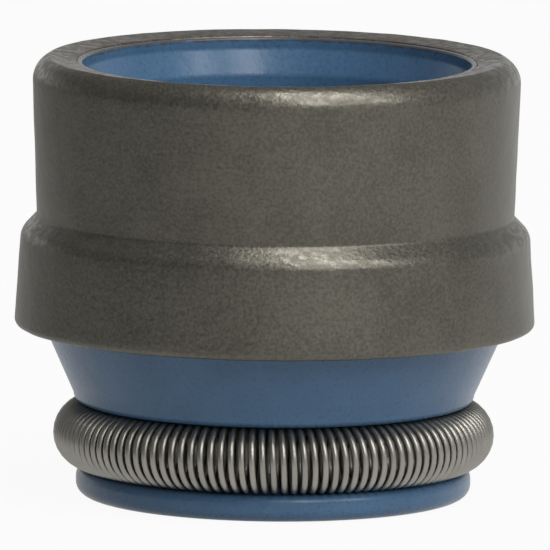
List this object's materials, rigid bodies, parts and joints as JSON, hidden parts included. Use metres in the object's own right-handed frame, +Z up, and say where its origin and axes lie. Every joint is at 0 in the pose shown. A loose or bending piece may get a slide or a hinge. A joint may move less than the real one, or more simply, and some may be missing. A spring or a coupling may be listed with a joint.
{
  "type": "valve stem seal",
  "caption": "Valve stem seal: stepped steel case with a turned-in rim, moulded blue rubber body with a gripping socket and a wiping lip, and a coiled garter spring round the lip.",
  "frame": {"origin": "centre of the flat lip end that the seal stands on", "axes": "+Z up along the seal's axis, from the lip end to the open guide end; the ends of the garter spring meet on the +Y side"},
  "size_m": [0.0166, 0.0166, 0.0141],
  "materials": {
    "case_steel": "dark grey tumbled steel, satin, with polished bends",
    "seal_rubber": "moulded blue rubber, fine matt grain",
    "spring_wire": "drawn spring wire, semi-bright"
  },
  "bodies": {
    "root": {"steel_case": "case_steel", "rubber_body": "seal_rubber", "garter_spring": "spring_wire"}
  },
  "joints": []
}
